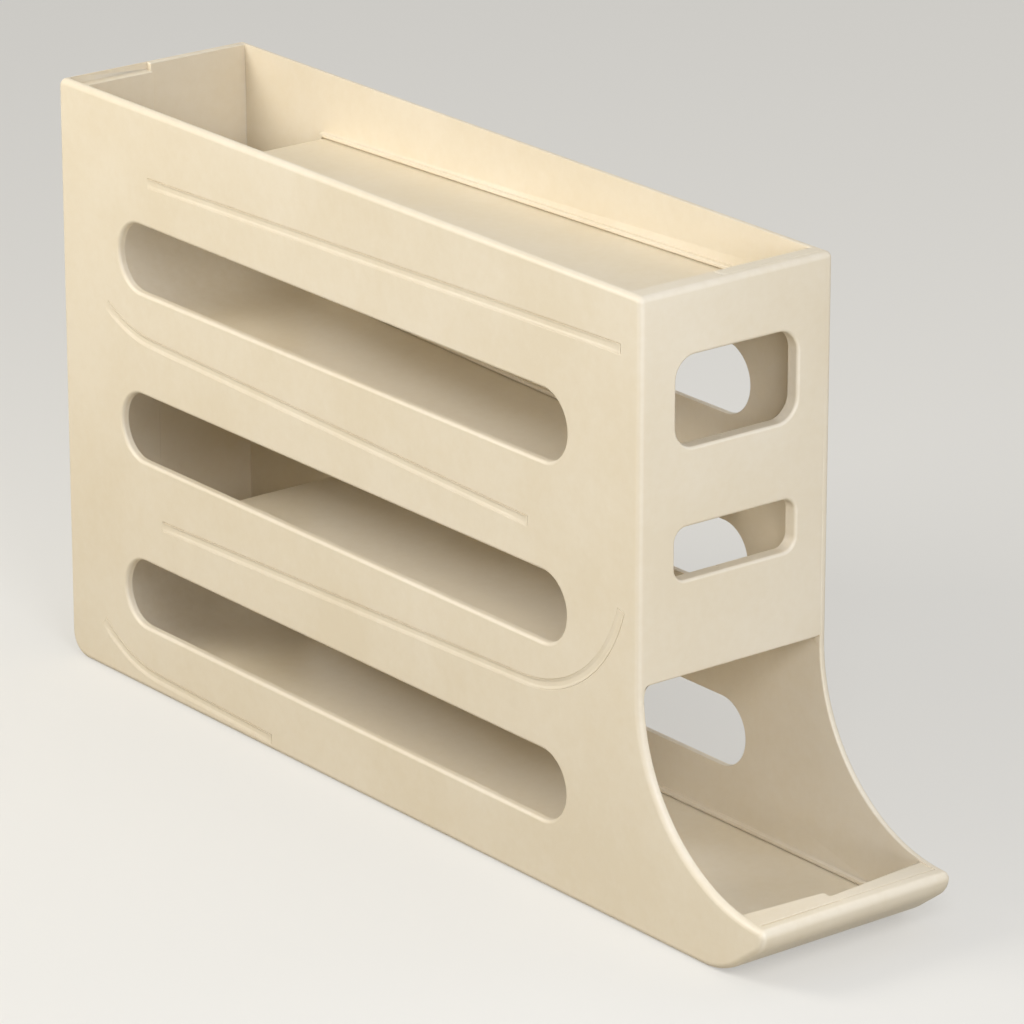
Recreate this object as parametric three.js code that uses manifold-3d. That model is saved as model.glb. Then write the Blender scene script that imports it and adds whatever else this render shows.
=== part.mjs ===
// Four-tier rolling egg holder.
//
// Eggs are laid in at the open top and roll to and fro down four sloping ramps to the tray in
// front. Two mouldings make the case: the main shell is one side panel with all the end walls,
// the base and the tray, and the side cover is the other panel, whose flanges slide inside the
// end walls. The four ramps are trapped between the two panels, in channels on their inner faces.
//
// Millimetres. X runs across, Y from the front to the back, Z up. The origin is on the ground,
// at the middle of the whole length and width.

import * as THREE from 'three';
import { mergeVertices } from 'three/addons/utils/BufferGeometryUtils.js';
import Module from 'manifold-3d';

const wasm = await Module();
wasm.setup();

// Overall sizes
const bodyWidth = 80;
const bodyDepth = 322;
const bodyHeight = 215.5;
const trayReach = 63;

// Walls and fits
const panelWall = 3;
const crossWall = 3;
const baseWall = 2;
const nearLining = 4;
const farFlange = 2.2;
const lapOffset = 4;
const fitGap = 0.3;
const overrun = 5;

// Roundings
const edgeRound = 2.2;
const backCornerRadius = 9;

// Tray in front
const lipHeight = 21.3;
const noseRadius = 9;
const noseBlend = 0.2;
const undercutAngle = THREE.MathUtils.degToRad(37);
const nearLipDepth = 12;
const farLipDepth = 8.7;
const cradleRadius = 24;

// Tiers
const tierSpaces = 3;
const lowestTierHeight = 4.1;
const rampWall = 2;
const rampTilt = THREE.MathUtils.degToRad(1.5);
const turnRadius = 52;
const backTurnSweep = THREE.MathUtils.degToRad(60);
const frontTurnSweep = THREE.MathUtils.degToRad(72);
const upperBackDrop = 54;
const lowerBackDrop = 59;
const backTurnInset = 54;
const frontDrop = 57;
const frontTurnInset = 60;
const topRampDepth = 24.5;
const secondRampDip = 1.7;
const bottomRampTurnHeight = 7.6;

// Channels that hold the ramps
const railWall = 1.5;
const railDepth = 2;

// Relief lines outside, opposite the channels
const reliefWidth = 3.3;
const reliefDepth = 0.7;
const reliefEndInset = 10;
const backReliefSweep = THREE.MathUtils.degToRad(38);
const lowReliefLength = 68;

// Slots in the side panels, one for each space between tiers
const slotFrontInset = 38;
const slotBackInset = 35.5;
const slotHeight = 24.75;
const lowestSlotCentre = 36.05;

// Windows in the front wall
const windowWidth = 48;
const upperWindowDepth = 23.1;
const upperWindowHeight = 29.6;
const upperWindowRadius = 7;
const windowSpacing = 28.2;
const lowerWindowHeight = 16.9;
const lowerWindowRadius = 4.25;

// Fineness of the curves
const arcDivisions = 6;
const roundDivisions = 3;
const turnSteps = 14;
const leastStep = 0.01;

const quarterTurn = Math.PI / 2;

// Places that follow from the sizes
const totalDepth = bodyDepth + trayReach;
const noseTip = -totalDepth / 2;
const frontFace = noseTip + trayReach;
const backFace = totalDepth / 2;
const nearFace = -bodyWidth / 2;
const farFace = bodyWidth / 2;
const nearInner = nearFace + panelWall;
const farInner = farFace - panelWall;
const lipRound = edgeRound + noseBlend;
const outletRadius = trayReach - lipRound;
const outletTop = lipHeight + trayReach;
const floorTop = baseWall + fitGap + rampWall;
const topRampBackHeight = bodyHeight - topRampDepth;
const tierPitch = (topRampBackHeight - lowestTierHeight) / tierSpaces;
const secondRampFrontHeight = topRampBackHeight - tierPitch - secondRampDip;
const slotLength = bodyDepth - slotFrontInset - slotBackInset;
const upperWindowSill = bodyHeight - upperWindowDepth - upperWindowHeight;
const lowerWindowSill = upperWindowSill - windowSpacing - lowerWindowHeight;

const shellMaterial = new THREE.MeshStandardMaterial({ color: 0xe6dbbe, roughness: 0.5, metalness: 0 });
const rampMaterial = new THREE.MeshStandardMaterial({ color: 0xe9dcc0, roughness: 0.45, metalness: 0 });

// Turns an outline drawn in Y and Z, with its depth along X, into place
const acrossFrame = new THREE.Matrix4().makeBasis(
  new THREE.Vector3(0, 1, 0),
  new THREE.Vector3(0, 0, 1),
  new THREE.Vector3(1, 0, 0),
);

// Makes a solid for joining and cutting from a closed geometry
function solidOf(geometry) {
  geometry.deleteAttribute('normal');
  geometry.deleteAttribute('uv');
  const merged = mergeVertices(geometry);
  return new wasm.Manifold(new wasm.Mesh({
    numProp: 3,
    vertProperties: new Float32Array(merged.attributes.position.array),
    triVerts: new Uint32Array(merged.index.array),
  }));
}

// Gives a solid back as a geometry
function geometryOf(solid) {
  const mesh = solid.getMesh();
  const geometry = new THREE.BufferGeometry();
  geometry.setAttribute('position', new THREE.BufferAttribute(new Float32Array(mesh.vertProperties), 3));
  geometry.setIndex(new THREE.BufferAttribute(new Uint32Array(mesh.triVerts), 1));
  geometry.computeVertexNormals();
  return geometry;
}

// The points of an outline, leaving out each that lies on the one before it
function spacedPoints(outline) {
  const points = outline.getPoints(arcDivisions);
  return points.filter((point, index) => {
    const before = points[(index + points.length - 1) % points.length];
    return point.distanceTo(before) > leastStep;
  });
}

// The same outline as straight steps, ready to extrude
function stepped(outline) {
  const plain = new THREE.Shape(spacedPoints(outline));
  plain.holes = outline.holes.map((hole) => new THREE.Path(spacedPoints(hole)));
  return plain;
}

// Extrudes an outline in Y and Z from one X to another, with rounded end edges where asked
function across(outline, fromX, toX, round = 0) {
  const geometry = new THREE.ExtrudeGeometry(stepped(outline), {
    depth: toX - fromX - 2 * round,
    bevelEnabled: round > 0,
    bevelThickness: round,
    bevelSize: round,
    bevelOffset: -round,
    bevelSegments: roundDivisions,
  });
  geometry.applyMatrix4(acrossFrame);
  geometry.translate(fromX + round, 0, 0);
  return solidOf(geometry);
}

// Extrudes an outline in X and Z from one Y back to another
function through(outline, fromY, toY) {
  const geometry = new THREE.ExtrudeGeometry(stepped(outline), { depth: toY - fromY, bevelEnabled: false });
  geometry.rotateX(quarterTurn);
  geometry.translate(0, toY, 0);
  return solidOf(geometry);
}

function rectangle(left, right, bottom, top) {
  const outline = new THREE.Shape();
  outline.moveTo(left, bottom);
  outline.lineTo(right, bottom);
  outline.lineTo(right, top);
  outline.lineTo(left, top);
  outline.closePath();
  return outline;
}

function roundedRectangle(left, right, bottom, top, radius) {
  const outline = new THREE.Shape();
  outline.absarc(left + radius, bottom + radius, radius, 2 * quarterTurn, 3 * quarterTurn);
  outline.absarc(right - radius, bottom + radius, radius, 3 * quarterTurn, 4 * quarterTurn);
  outline.absarc(right - radius, top - radius, radius, 0, quarterTurn);
  outline.absarc(left + radius, top - radius, radius, quarterTurn, 2 * quarterTurn);
  outline.closePath();
  return outline;
}

// The lower part of the side outline, from the back wall down round the corner, along the base
// and up the undercut to the nose, drawn a given distance inside the outer faces
function drawUnderside(outline, inset, baseInset) {
  const cornerRadius = Math.max(backCornerRadius - inset, edgeRound);
  const cornerY = backFace - inset - cornerRadius;
  const cornerZ = baseInset + cornerRadius;
  outline.lineTo(backFace - inset, cornerZ);
  outline.absarc(cornerY, cornerZ, cornerRadius, 0, -quarterTurn, true);
  const radius = noseRadius - inset;
  const centreY = noseTip + noseRadius;
  const centreZ = lipHeight - lipRound;
  const turnEnd = undercutAngle + quarterTurn;
  const tangentY = centreY - radius * Math.sin(undercutAngle);
  const tangentZ = centreZ - radius * Math.cos(undercutAngle);
  outline.lineTo(tangentY + (tangentZ - baseInset) / Math.tan(undercutAngle), baseInset);
  outline.absarc(centreY, centreZ, radius, -turnEnd, -2 * quarterTurn, true);
}

// The outline of the whole holder seen from the side
function sideOutline() {
  const outline = new THREE.Shape();
  outline.moveTo(backFace, bodyHeight);
  drawUnderside(outline, 0, 0);
  const lipFront = noseTip + lipRound;
  outline.absarc(lipFront, lipHeight - lipRound, lipRound, 2 * quarterTurn, quarterTurn, true);
  outline.absarc(lipFront, lipHeight + outletRadius, outletRadius, -quarterTurn, 0);
  outline.lineTo(frontFace, bodyHeight);
  outline.closePath();
  return outline;
}

// The outline of the space inside the end walls, open at the top and at the outlet
function hollowOutline(inset, baseInset) {
  const outline = new THREE.Shape();
  outline.moveTo(backFace - inset, bodyHeight + overrun);
  drawUnderside(outline, inset, baseInset);
  outline.lineTo(noseTip + inset, outletTop);
  outline.lineTo(frontFace + inset, outletTop);
  outline.lineTo(frontFace + inset, bodyHeight + overrun);
  outline.closePath();
  return outline;
}

function slotCentre(index) {
  return lowestSlotCentre + index * tierPitch;
}

// One long slot with round ends
function slotOutline(index) {
  const radius = slotHeight / 2;
  const front = frontFace + slotFrontInset;
  const centre = slotCentre(index);
  return roundedRectangle(front, front + slotLength, centre - radius, centre + radius, radius);
}

// The whole outer form with its slots, its side edges rounded
function envelope() {
  const outline = sideOutline();
  for (let index = 0; index < tierSpaces; index += 1) {
    outline.holes.push(slotOutline(index));
  }
  return across(outline, nearFace, farFace, edgeRound);
}

// The line that a ramp follows in Y and Z: straight, then up a turn towards an end wall.
// Each point keeps the direction that faces up from the ramp there.
function trackLine(low, straightEnd, sweep, extension = 0) {
  const run = new THREE.Vector2(straightEnd.x - low.x, straightEnd.y - low.y).normalize();
  const side = Math.sign(run.x);
  const up = new THREE.Vector2(-run.y * side, run.x * side);
  const line = [{ point: low.clone().addScaledVector(run, -extension), up }];
  line.push({ point: straightEnd.clone(), up });
  const centre = straightEnd.clone().addScaledVector(up, turnRadius);
  const steps = sweep > 0 ? turnSteps : 0;
  for (let step = 1; step <= steps; step += 1) {
    const turned = up.clone().rotateAround(new THREE.Vector2(), (side * sweep * step) / steps);
    line.push({ point: centre.clone().addScaledVector(turned, -turnRadius), up: turned });
  }
  const last = line[line.length - 1];
  const onward = new THREE.Vector2(last.up.y * side, -last.up.x * side);
  line[line.length - 1] = { point: last.point.clone().addScaledVector(onward, extension), up: last.up };
  return line;
}

// A strip along a track line, between two heights above it
function stripOutline(line, below, above) {
  const upper = line.map((mark) => mark.point.clone().addScaledVector(mark.up, above));
  const lower = line.map((mark) => mark.point.clone().addScaledVector(mark.up, -below));
  return new THREE.Shape([...upper, ...lower.reverse()]);
}

const climb = Math.tan(rampTilt);
const liningInner = frontFace + crossWall + nearLining;
const topRampBack = backFace - upperBackDrop;
const thirdRampBack = backFace - lowerBackDrop;
const topRampFront = liningInner + fitGap;
const secondRampFront = frontFace + frontDrop;
const backTurnStart = backFace - backTurnInset;
const frontTurnStart = frontFace + frontTurnInset;
const thirdRampBackHeight = topRampBackHeight - 2 * tierPitch;
const levelMiddle = floorTop - rampWall / 2;
const levelEnd = backTurnStart - (bottomRampTurnHeight - levelMiddle) / climb;
const nearCradleCentre = noseTip + lipRound + nearLipDepth + cradleReach();
const farCradleCentre = noseTip + lipRound + farLipDepth + cradleReach();

// How far the lip's inner edge stands in front of the centre of the cradle's curve
function cradleReach() {
  const drop = cradleRadius + floorTop - lipHeight;
  return Math.sqrt(cradleRadius * cradleRadius - drop * drop);
}

// Each ramp's straight run from its low end to its high end, and its turn if it has one
const ramps = [
  {
    name: 'top_ramp',
    low: new THREE.Vector2(topRampBack, topRampBackHeight),
    high: new THREE.Vector2(topRampFront, topRampBackHeight + climb * (topRampBack - topRampFront)),
    sweep: 0,
  },
  {
    name: 'second_ramp',
    low: new THREE.Vector2(secondRampFront, secondRampFrontHeight),
    high: new THREE.Vector2(
      backTurnStart,
      secondRampFrontHeight + climb * (backTurnStart - secondRampFront),
    ),
    sweep: backTurnSweep,
  },
  {
    name: 'third_ramp',
    low: new THREE.Vector2(thirdRampBack, thirdRampBackHeight),
    high: new THREE.Vector2(
      frontTurnStart,
      thirdRampBackHeight + climb * (thirdRampBack - frontTurnStart),
    ),
    sweep: frontTurnSweep,
  },
  {
    name: 'bottom_ramp',
    low: new THREE.Vector2(levelEnd, levelMiddle),
    high: new THREE.Vector2(backTurnStart, bottomRampTurnHeight),
    sweep: backTurnSweep,
  },
];

// The track line of a ramp; the bottom ramp runs on level from its slope into the tray
function rampLine(ramp, extension = 0) {
  if (ramp.name !== 'bottom_ramp') {
    return trackLine(ramp.low, ramp.high, ramp.sweep, extension);
  }
  const slope = trackLine(ramp.low, ramp.high, ramp.sweep, extension);
  const flat = new THREE.Vector2(0, 1);
  const trayEnd = new THREE.Vector2(nearCradleCentre + fitGap - extension, levelMiddle);
  slope[0] = { point: ramp.low.clone(), up: flat };
  return [{ point: trayEnd, up: flat }, ...slope];
}

// The closed channel round a ramp's edge, from one X to another
function channel(ramp, fromX, toX) {
  const room = rampWall / 2 + fitGap;
  const reach = room + railWall;
  const outer = stripOutline(rampLine(ramp, fitGap + railWall), reach, reach);
  const inner = stripOutline(rampLine(ramp, fitGap), room, room);
  return across(outer, fromX, toX).subtract(across(inner, fromX - overrun, toX + overrun));
}

function channels(fromX, toX) {
  return ramps.map((ramp) => channel(ramp, fromX, toX));
}

// The stretch of a ramp's line that shows as a relief line outside
function reliefLine(ramp) {
  if (ramp.name === 'top_ramp') {
    const front = new THREE.Vector2(frontFace + reliefEndInset, ramp.high.y);
    return trackLine(ramp.low, front, 0);
  }
  if (ramp.name === 'bottom_ramp') {
    const start = ramp.high.clone().add(new THREE.Vector2(-lowReliefLength, -lowReliefLength * climb));
    return trackLine(start, ramp.high, backReliefSweep);
  }
  const sweep = ramp.name === 'second_ramp' ? backReliefSweep : ramp.sweep;
  return trackLine(ramp.low, ramp.high, sweep);
}

function reliefs(fromX, toX) {
  const half = reliefWidth / 2;
  return ramps.map((ramp) => across(stripOutline(reliefLine(ramp), half, half), fromX, toX));
}

// The tray's front lip behind its skin: a curve that cradles the egg, with a flat top
function cradleOutline(centreY, startY) {
  const outline = new THREE.Shape();
  outline.moveTo(startY, 0);
  outline.lineTo(startY, floorTop);
  outline.lineTo(centreY, floorTop);
  const start = -quarterTurn;
  const end = -quarterTurn - Math.asin(cradleReach() / cradleRadius);
  outline.absarc(centreY, floorTop + cradleRadius, cradleRadius, start, end, true);
  outline.lineTo(noseTip, lipHeight);
  outline.lineTo(noseTip, 0);
  outline.closePath();
  return outline;
}

// A layer behind the front wall, the back wall and the lip, from one X to another
function layer(frontInset, thickness, baseInset, cradleCentre, fromX, toX) {
  const inner = frontInset + thickness;
  const front = rectangle(frontFace + frontInset, frontFace + inner, outletTop, bodyHeight);
  const back = rectangle(backFace - inner, backFace - frontInset, baseInset, bodyHeight);
  const parts = [front, back, cradleOutline(cradleCentre, nearCradleCentre)];
  const walls = parts.map((outline) => across(outline, fromX, toX));
  const space = across(hollowOutline(frontInset, baseInset), fromX - overrun, toX + overrun);
  return join(walls).intersect(space);
}

function windowCuts() {
  const left = -windowWidth / 2;
  const right = windowWidth / 2;
  const sizes = [
    [upperWindowSill, upperWindowHeight, upperWindowRadius],
    [lowerWindowSill, lowerWindowHeight, lowerWindowRadius],
  ];
  return sizes.map(([sill, height, radius]) => through(
    roundedRectangle(left, right, sill, sill + height, radius),
    frontFace - overrun,
    liningInner + overrun,
  ));
}

function join(solids) {
  return solids.reduce((whole, solid) => whole.add(solid));
}

function cut(solid, cutters) {
  return cutters.reduce((rest, cutter) => rest.subtract(cutter), solid);
}

const outerForm = envelope();

// One side panel, the end walls with the near half of their lining, the base and the tray
function mainShell() {
  const panel = across(sideOutline(), nearFace, nearInner);
  const wallBlock = across(sideOutline(), nearInner - fitGap, farInner - fitGap);
  const space = across(hollowOutline(crossWall, baseWall), nearInner, farFace);
  const lining = layer(
    crossWall - fitGap,
    nearLining + fitGap,
    baseWall - fitGap,
    nearCradleCentre,
    nearInner - fitGap,
    -lapOffset,
  );
  const rails = channels(nearInner - fitGap, nearInner + railDepth);
  const shell = join([panel, wallBlock.subtract(space), lining, ...rails]).intersect(outerForm);
  return cut(shell, [...windowCuts(), ...reliefs(nearFace - overrun, nearFace + reliefDepth)]);
}

// The other side panel, with the flanges that slide inside the end walls up to the lap
function sideCover() {
  const panel = across(sideOutline(), farInner, farFace);
  const flanges = layer(
    crossWall + fitGap,
    farFlange,
    baseWall + fitGap,
    farCradleCentre,
    -lapOffset + fitGap,
    farInner + fitGap,
  );
  const rails = channels(farInner - railDepth, farInner + fitGap);
  const room = across(hollowOutline(crossWall + fitGap, baseWall + fitGap), nearFace, farInner);
  const inside = join([flanges, ...rails]).intersect(join([room, panel]));
  const cover = join([panel, inside]).intersect(outerForm);
  return cut(cover, [...windowCuts(), ...reliefs(farFace - reliefDepth, farFace + overrun)]);
}

function rampPlate(ramp) {
  const outline = stripOutline(rampLine(ramp), rampWall / 2, rampWall / 2);
  return across(outline, nearInner + fitGap, farInner - fitGap);
}

function named(name, solid, material) {
  const mesh = new THREE.Mesh(geometryOf(solid), material.clone());
  mesh.name = name;
  return mesh;
}

const eggHolder = new THREE.Group();
eggHolder.add(named('main_shell', mainShell(), shellMaterial));
eggHolder.add(named('side_cover', sideCover(), shellMaterial));
for (const ramp of ramps) {
  eggHolder.add(named(ramp.name, rampPlate(ramp), rampMaterial));
}

export default eggHolder;
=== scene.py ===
"""Four-tier rolling egg holder in moulded cream plastic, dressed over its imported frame.

The case is two mouldings: the main shell, with one side panel, the end walls, the base and the
tray, and the side cover, whose flanges slide inside the end walls. Four ramps lie between them.
Every length is in metres, in the frame's own axes: X across, Y to the back, Z up.
"""

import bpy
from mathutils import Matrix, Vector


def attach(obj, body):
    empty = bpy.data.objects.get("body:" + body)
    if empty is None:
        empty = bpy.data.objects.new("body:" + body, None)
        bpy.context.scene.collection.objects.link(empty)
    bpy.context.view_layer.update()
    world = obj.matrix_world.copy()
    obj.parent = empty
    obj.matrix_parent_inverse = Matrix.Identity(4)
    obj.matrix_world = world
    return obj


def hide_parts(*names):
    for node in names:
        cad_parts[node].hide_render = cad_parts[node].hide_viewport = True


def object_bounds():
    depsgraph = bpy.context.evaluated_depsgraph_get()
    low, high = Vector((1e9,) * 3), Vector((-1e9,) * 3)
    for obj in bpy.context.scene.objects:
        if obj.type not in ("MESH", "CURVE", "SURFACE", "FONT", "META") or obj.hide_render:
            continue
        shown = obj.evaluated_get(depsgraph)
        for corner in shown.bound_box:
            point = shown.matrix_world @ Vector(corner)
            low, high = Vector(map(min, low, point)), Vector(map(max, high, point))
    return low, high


bl_info = {
    "name": "Rolling Egg Holder",
    "version": (1, 0, 0),
    "blender": (4, 5, 0),
    "location": "View3D > Sidebar > Egg Holder",
    "description": "Builds a four-tier rolling egg holder in moulded plastic, and its stage",
    "category": "Add Mesh",
}

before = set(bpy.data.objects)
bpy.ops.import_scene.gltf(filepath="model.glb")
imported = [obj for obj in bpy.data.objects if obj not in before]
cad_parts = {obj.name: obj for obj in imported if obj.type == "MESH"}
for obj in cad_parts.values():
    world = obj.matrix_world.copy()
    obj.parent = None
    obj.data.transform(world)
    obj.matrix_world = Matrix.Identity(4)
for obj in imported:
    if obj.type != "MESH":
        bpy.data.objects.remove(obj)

from math import acos, asin, copysign, cos, hypot, pi, radians, sin, sqrt, tan

import bmesh
import bpy
from bpy.props import FloatProperty, FloatVectorProperty, PointerProperty
from mathutils import Matrix, Vector

BOX_LOW, BOX_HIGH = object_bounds()

# Ends of the case in the frame
NEAR_FACE = BOX_LOW.x
FAR_FACE = BOX_HIGH.x
NOSE_TIP = BOX_LOW.y
BACK_FACE = BOX_HIGH.y
RIM = BOX_HIGH.z

# How far a cutting tool runs past a wall, how far a joined solid reaches into one, a step too
# fine to see, how near counts as touching, and how near points become one
OVERRUN = 0.006
BITE = 0.0003
HAIR = 0.00002
NEAR = 0.00001
WELD = HAIR / 10

# How fine the curves are, how sharp an edge has to be to count as one, how little a face bends
# where it counts as flat, and how well a direction has to follow an axis
ARC_STEP = radians(3)
SLOT_STEPS = 24
WINDOW_STEPS = 12
CORNER_STEPS = 10
CASE_EDGE_STEPS = 5
RAMP_EDGE_STEPS = 4
SHARP = radians(28)
FLAT = radians(0.1)
ALONG = 0.9


def linear(colour):
    """Turns an sRGB hex colour into linear red, green and blue."""
    channels = [int(colour[i:i + 2], 16) / 255 for i in (1, 3, 5)]
    return tuple(c / 12.92 if c <= 0.04045 else ((c + 0.055) / 1.055) ** 2.4 for c in channels)


def length(name, default, description):
    """A size that a user can change."""
    return FloatProperty(
        name=name, description=description, default=default, min=0.0, unit="LENGTH",
        subtype="DISTANCE", precision=5,
    )


def colour(name, default, description):
    """A colour that a user can change."""
    return FloatVectorProperty(
        name=name, description=description, default=linear(default), min=0.0, max=1.0, size=3,
        subtype="COLOR",
    )


def power(name, default, description):
    """A lamp's power that a user can change."""
    return FloatProperty(
        name=name, description=description, default=default, min=0.0, unit="POWER",
    )


class CaseSizes(bpy.types.PropertyGroup):
    """Walls, tray, windows, slots and edge rounding of the case."""

    tray_reach: length("Tray reach", 0.063, "How far the tray stands in front of the front wall")
    panel_wall: length("Panel wall", 0.003, "Thickness of a side panel")
    cross_wall: length("End wall", 0.003, "Thickness of the end walls' outer skin")
    base_wall: length("Base wall", 0.002, "Thickness of the base")
    near_lining: length("Near lining", 0.004, "Extra thickness of the back wall's near half")
    thin_lining: length("Thin lining", 0.0022, "Extra thickness of the front wall's near half")
    rim_band: length("Rim band", 0.013, "Height of the front wall's thick rim")
    rim_depth: length("Rim depth", 0.0079, "Depth of the front wall's thick rim")
    far_flange: length("Flange", 0.0022, "Thickness of the side cover's flanges")
    lap_offset: length("Lap offset", 0.004, "How far the lap lies from mid-width")
    fit_gap: length("Fit gap", 0.0003, "Clearance between the mouldings")
    seam: length("Seam", 0.00002, "Width of the seams that show between the mouldings")
    edge_round: length("Edge round", 0.0022, "Rounding of the case's outer edges")
    rim_round: length("Rim round", 0.0023, "Rounding of the front wall's top edge")
    back_round: length("Back round", 0.0029, "Rounding of the back wall's top edge")
    inner_round: length("Inner round", 0.0006, "Rounding of the rims' and outlet's inner edges")
    slot_round: length("Slot round", 0.0013, "Rounding of the slots' outer edges")
    window_round: length("Window round", 0.0012, "Rounding of the windows' outer edges")
    outlet_round: length("Outlet round", 0.0009, "Rounding of the front wall's lower edge")
    soft_edge: length("Soft edge", 0.0004, "Rounding of every other edge")
    back_corner: length("Back corner", 0.009, "Radius of the base's back corner")
    foot_round: length("Foot round", 0.029, "Rounding where the base turns up under the tray")
    lip_height: length("Lip height", 0.0213, "Height of the tray's lip")
    lip_round: length("Lip round", 0.0026, "Rounding of the lip's outer edge")
    nose_radius: length("Nose radius", 0.009, "Radius of the tray's nose below that rounding")
    nose_drop: length("Nose drop", 0.0015, "From the lip's top down to the nose radius's centre")
    near_lip: length("Near lip", 0.0144, "Depth of the lip on the near half")
    far_lip: length("Far lip", 0.0111, "Depth of the lip on the far half")
    lip_skin: length("Lip skin", 0.0046, "From the nose's tip to the fine groove along the lip")
    lip_groove: length("Lip groove", 0.0008, "Width of the fine groove along the lip")
    groove_depth: length("Groove depth", 0.0010, "Depth of the fine groove along the lip")
    lip_waist: length("Lip waist", 0.0017, "How much less deep the lip is at the lap")
    lip_flare: length("Lip flare", 0.0010, "How much deeper the lip is at the side panels")
    cradle_radius: length("Cradle radius", 0.024, "Radius of the curve behind the lip")
    outlet_foot: length("Outlet foot", 0.0015, "From the nose's tip to the outlet curve's foot")
    outlet_top: length("Outlet top", 0.0843, "Height of the front wall's lower edge")
    outlet_corner: length("Outlet corner", 0.0032, "Radius of the outlet's near upper corner")
    slot_front: length("Slot front", 0.0370, "From the front wall to the slots")
    slot_back: length("Slot back", 0.0352, "From the slots to the back wall")
    slot_height: length("Slot height", 0.02475, "Height of a slot")
    low_slot: length("Lowest slot", 0.03605, "Height of the lowest slot's centre")
    tier_pitch: length("Tier pitch", 0.0623, "Height from one tier to the next")
    window_width: length("Window width", 0.0504, "Width of both windows")
    rail_wall: length("Rail wall", 0.0015, "Wall of the channels that hold the ramps")
    rail_depth: length("Rail depth", 0.002, "How far the channels stand out from a panel")
    relief_width: length("Relief width", 0.0033, "Width of the relief lines on the panels")
    relief_depth: length("Relief depth", 0.00035, "Depth of the relief lines")
    relief_fade: length("Relief fade", 0.009, "Length over which a relief line's end fades in")
    rim_ledge: length("Rim ledge", 0.0026, "How far the lining's top lies below the back rim")


class RampSizes(bpy.types.PropertyGroup):
    """The four ramps."""

    wall: length("Ramp wall", 0.002, "Thickness of a ramp")
    turn_radius: length("Turn radius", 0.052, "Radius of the turned-up ends")
    edge: length("Ramp edge", 0.00045, "Rounding of a ramp's edges")


class Finish(bpy.types.PropertyGroup):
    """Colours of the plastic and the floor."""

    case: colour("Case", "#EBE0CB", "The case's cream plastic")
    case_shade: colour("Case shade", "#E6D9C0", "The darker tone of the case's faint mottling")
    ramp: colour("Ramps", "#EADFC9", "The ramps' cream plastic")
    ramp_shade: colour("Ramp shade", "#E5D8BE", "The darker tone of the ramps' faint mottling")
    floor: colour("Floor", "#F3F1EC", "The pale floor, as it is seen")
    bounce: colour("Bounce", "#9F957D", "The floor's colour in the light that it throws back up")


class StageSettings(bpy.types.PropertyGroup):
    """Lamps of the plain studio."""

    left: power("Left", 4.25, "Power of the lamp on the left")
    front: power("Front", 3.15, "Power of the lamp in front")
    low: power("Low", 0.7, "Power of the low lamp in front")
    right: power("Right", 3.5, "Power of the large lamp on the right")
    top: power("Top", 1.2, "Power of the large lamp above")
    sky: FloatProperty(name="Sky", description="Strength of the light all round", default=0.25)
    floor_size: length("Floor", 12.0, "Width of the floor")


# Places that follow from the sizes


def sizes():
    """The case's sizes, as they are set now."""
    return bpy.context.scene.egg_case


def front_face():
    """Where the front wall's outer face lies."""
    return NOSE_TIP + sizes().tray_reach


def floor_top():
    """The height of the lowest ramp's upper face in the tray."""
    return sizes().base_wall + sizes().fit_gap + bpy.context.scene.egg_ramps.wall


def thin_inside():
    """Where the front wall's inner face lies below its rim."""
    case = sizes()
    return front_face() + case.cross_wall + case.thin_lining


def cradle_reach():
    """How far the lip's inner edge stands in front of the centre of the cradle's curve."""
    case = sizes()
    drop = case.cradle_radius + floor_top() - case.lip_height
    return sqrt(case.cradle_radius ** 2 - drop ** 2)


def cradle_centre(lip):
    """Where the centre of the cradle's curve lies behind a lip of a given depth."""
    return NOSE_TIP + lip + cradle_reach()


def nose_centre():
    """The centre of the tray's nose, in Y and Z."""
    case = sizes()
    between = case.nose_radius - case.lip_round
    across = sqrt(between ** 2 - (case.lip_round - case.nose_drop) ** 2)
    return NOSE_TIP + case.lip_round + across, case.lip_height - case.nose_drop


# Outlines drawn in Y and Z, and the solids made from them


def draw(bm, x, start, moves):
    """Draws a closed outline in the plane x, from straight runs (y, z) and arcs (y, z, angle)."""
    first = last = bmesh.ops.create_vert(bm, co=(x, *start))["vert"][0]
    edges = []
    for move in moves:
        if len(move) == 2:
            made = bmesh.ops.extrude_vert_indiv(bm, verts=[last])
            last = made["verts"][0]
            last.co = (x, *move)
            edges += made["edges"]
            continue
        y, z, angle = move
        steps = max(4, round(abs(angle) / ARC_STEP))
        before = set(bm.edges)
        made = bmesh.ops.spin(
            bm, geom=[last], cent=(x, y, z), axis=(1, 0, 0), angle=angle, steps=steps,
            use_merge=False,
        )
        last = next(part for part in made["geom_last"] if isinstance(part, bmesh.types.BMVert))
        edges += [edge for edge in bm.edges if edge not in before]
    edges += bmesh.ops.contextual_create(bm, geom=[last, first])["edges"]
    return edges


def thicken(bm, faces, depth):
    """Extrudes flat faces along X into a closed solid."""
    made = bmesh.ops.extrude_face_region(bm, geom=faces)
    moved = [part for part in made["geom"] if isinstance(part, bmesh.types.BMVert)]
    bmesh.ops.translate(bm, verts=moved, vec=(depth, 0, 0))
    bmesh.ops.recalc_face_normals(bm, faces=bm.faces)


def prism(from_x, to_x, start, moves):
    """A solid with an outline's shape from one X to another."""
    bm = bmesh.new()
    edges = draw(bm, from_x, start, moves)
    face = bmesh.ops.contextual_create(bm, geom=edges)["faces"]
    thicken(bm, face, to_x - from_x)
    # An arc ends a rounding error away from the rim's height, and flush faces have to be level
    for vert in bm.verts:
        if abs(vert.co.z - RIM) < WELD:
            vert.co.z = RIM
    return bm


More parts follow.
